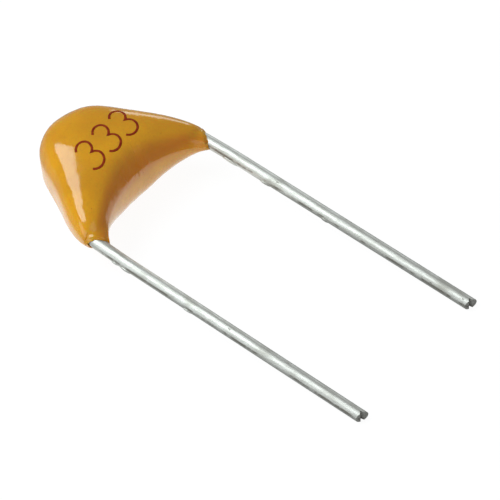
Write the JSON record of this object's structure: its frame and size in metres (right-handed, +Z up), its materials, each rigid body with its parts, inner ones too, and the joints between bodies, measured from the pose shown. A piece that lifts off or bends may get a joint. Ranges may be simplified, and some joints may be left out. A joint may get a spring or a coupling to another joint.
{
  "type": "multilayer ceramic capacitor",
  "caption": "Radial-leaded multilayer ceramic capacitor with a dipped mustard epoxy body, a plain printed value code and straight tinned wire leads.",
  "frame": {"origin": "centre of the part's box, on the surface it lies on: the back of the body and both lead tips touch z = 0", "axes": "+Z up, out of the printed face apart from the lean of about 6 degrees at rest; +Y from the lead tips to the crown of the body; +X across the leads, to the right with the print upright"},
  "size_m": [0.0056, 0.0142, 0.0028],
  "materials": {
    "epoxy": "gloss",
    "ceramic": "satin",
    "plate_metal": "satin",
    "termination_metal": "satin",
    "solder": "satin",
    "tinned_wire": "satin"
  },
  "bodies": {
    "root": {"epoxy_coating": "epoxy", "ceramic_block": "ceramic", "electrodes_left": "plate_metal", "electrodes_right": "plate_metal", "termination_left": "termination_metal", "termination_right": "termination_metal", "solder_left": "solder", "solder_right": "solder", "lead_left": "tinned_wire", "lead_right": "tinned_wire"}
  },
  "joints": []
}
